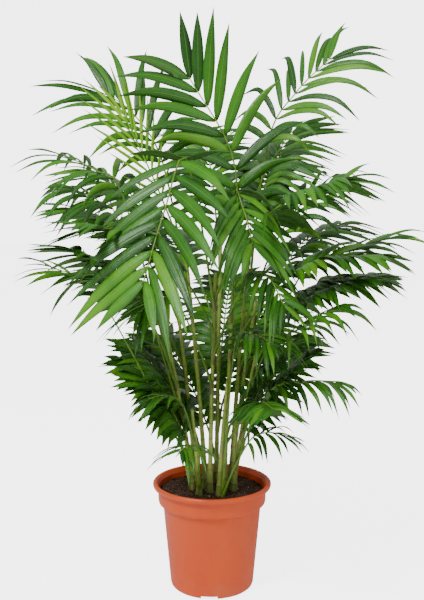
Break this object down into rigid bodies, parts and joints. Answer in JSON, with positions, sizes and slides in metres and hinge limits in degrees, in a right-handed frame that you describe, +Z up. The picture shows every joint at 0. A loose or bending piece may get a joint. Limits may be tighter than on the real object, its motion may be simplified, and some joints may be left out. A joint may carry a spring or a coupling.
{
  "type": "potted palm",
  "caption": "Bushy parlour palm: slender green canes with feathery arching fronds, growing from dark potting soil in a plain terracotta-coloured plastic nursery pot",
  "frame": {"origin": "centre of the flat pad under the pot, on the surface it stands on", "axes": "+Z up from the floor, -Y towards the front, where the large front frond hangs, +X to the right seen from the front"},
  "size_m": [0.7004, 0.6785, 1.0161],
  "materials": {
    "terracotta_plastic": "satin moulded plastic, terracotta orange",
    "potting_soil": "moist peat mix with fibres and a few white grains",
    "cane_green": "smooth ringed cane, yellow-green, brown at the sheaths",
    "leaf_green": "semi-gloss leaf, parallel veins, paler underneath",
    "leaf_young": "young leaf, yellow-green, semi-gloss"
  },
  "bodies": {
    "root": {"cane_1": "cane_green", "cane_10": "cane_green", "cane_11": "cane_green", "cane_2": "cane_green", "cane_3": "cane_green", "cane_4": "cane_green", "cane_5": "cane_green", "cane_6": "cane_green", "cane_7": "cane_green", "cane_8": "cane_green", "cane_9": "cane_green", "frond_1": "leaf_green", "frond_10": "leaf_green", "frond_11": "leaf_green", "frond_12": "leaf_green", "frond_13": "leaf_green", "frond_14": "leaf_green", "frond_15": "leaf_green", "frond_16": "leaf_green", "frond_17": "leaf_green", "frond_18": "leaf_green", "frond_19": "leaf_green", "frond_2": "leaf_green", "frond_20": "leaf_green", "frond_21": "leaf_green", "frond_22": "leaf_green", "frond_23": "leaf_green", "frond_24": "leaf_green", "frond_25": "leaf_green", "frond_26": "leaf_green", "frond_27": "leaf_green", "frond_28": "leaf_green", "frond_3": "leaf_green", "frond_4": "leaf_green", "frond_5": "leaf_green", "frond_6": "leaf_green", "frond_7": "leaf_green", "frond_8": "leaf_green", "frond_9": "leaf_green", "frond_base_front": "leaf_green", "frond_centre": "leaf_green", "frond_far_left": "leaf_green", "frond_far_right": "leaf_green", "frond_front": "leaf_green", "frond_left": "leaf_green", "frond_left_low": "leaf_green", "frond_low": "leaf_green", "frond_low_left": "leaf_green", "frond_low_right": "leaf_green", "frond_middle": "leaf_green", "frond_middle_left": "leaf_green", "frond_middle_low": "leaf_green", "frond_right": "leaf_green", "frond_right_low": "leaf_green", "frond_top": "leaf_green", "frond_upper_left": "leaf_green", "frond_upper_right": "leaf_green", "frond_young": "leaf_young", "pot": "terracotta_plastic", "soil": "potting_soil"}
  },
  "joints": []
}
